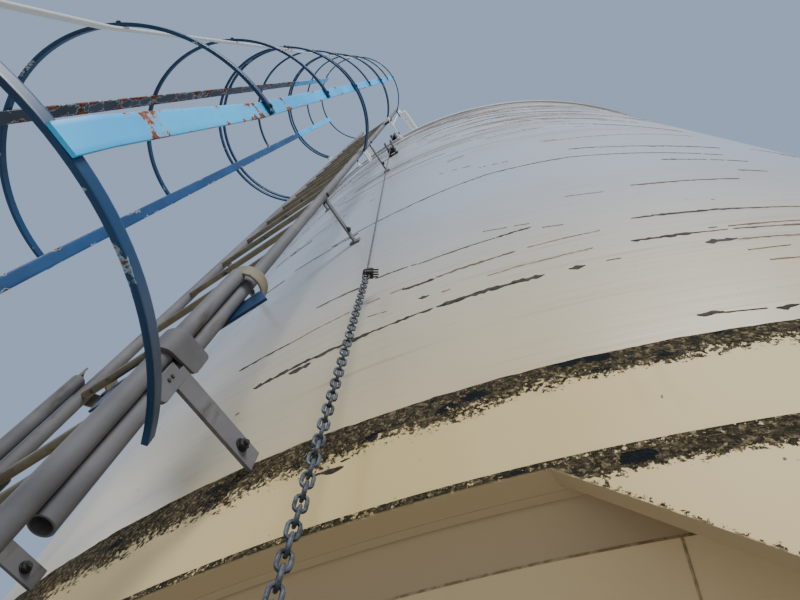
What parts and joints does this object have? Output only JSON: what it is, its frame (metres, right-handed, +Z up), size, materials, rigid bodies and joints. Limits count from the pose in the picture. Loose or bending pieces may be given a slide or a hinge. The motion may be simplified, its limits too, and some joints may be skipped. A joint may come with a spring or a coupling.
{
  "type": "grain silo",
  "caption": "Round glass-fibre grain silo on a cut-out skirt, with a hopper bottom, a caged ladder and a pull chain for the roof hatch.",
  "frame": {"origin": "on the ground under the middle of the whole silo's box, ladder cage included, so the silo's axis stands 0.397 m towards +Y", "axes": "+Z up; the ladder and its cage stand on the -Y side; +X to the right of someone who faces the ladder"},
  "size_m": [4.656, 5.4493, 7.6135],
  "materials": {
    "gelcoat": "aged cream gelcoat with fine cracks, stains and moss on its ledges",
    "bare_laminate": "tan glass-fibre laminate",
    "grey_paint": "dull grey paint on steel tube",
    "blue_paint": "light blue paint with rust chips",
    "white_paint": "white paint",
    "galvanised_steel": "weathered zinc",
    "dark_steel": "dark paint"
  },
  "bodies": {
    "root": {"wall_segment_1": "gelcoat", "wall_segment_2": "gelcoat", "wall_segment_3": "gelcoat", "wall_segment_4": "gelcoat", "skirt_segment_1": "gelcoat", "skirt_segment_2": "gelcoat", "skirt_segment_3": "gelcoat", "skirt_segment_4": "gelcoat", "hopper_segment_1": "bare_laminate", "hopper_segment_2": "bare_laminate", "hopper_segment_3": "bare_laminate", "hopper_segment_4": "bare_laminate", "outlet_collar": "galvanised_steel", "slide_gate": "galvanised_steel", "roof": "gelcoat", "hatch_collar": "gelcoat", "hatch_lid": "gelcoat", "upper_ladder": "grey_paint", "lower_ladder": "grey_paint", "wall_arm_left": "grey_paint", "wall_arm_right": "grey_paint", "ladder_clamp_left": "grey_paint", "ladder_clamp_right": "grey_paint", "cross_bar": "blue_paint", "hoop_1": "blue_paint", "hoop_2": "blue_paint", "hoop_3": "blue_paint", "hoop_4": "blue_paint", "hoop_5": "blue_paint", "hoop_6": "blue_paint", "hoop_7": "blue_paint", "hoop_8": "blue_paint", "cage_strap_1": "blue_paint", "cage_strap_2": "blue_paint", "cage_strap_3": "blue_paint", "cage_strap_4": "blue_paint", "grab_rail_left": "white_paint", "grab_rail_right": "white_paint", "rim_roller": "dark_steel", "rope_guide": "dark_steel", "lid_wire": "galvanised_steel", "pull_rope": "galvanised_steel", "rope_clips": "galvanised_steel", "pull_chain": "galvanised_steel", "chain_hook": "galvanised_steel"}
  },
  "joints": []
}
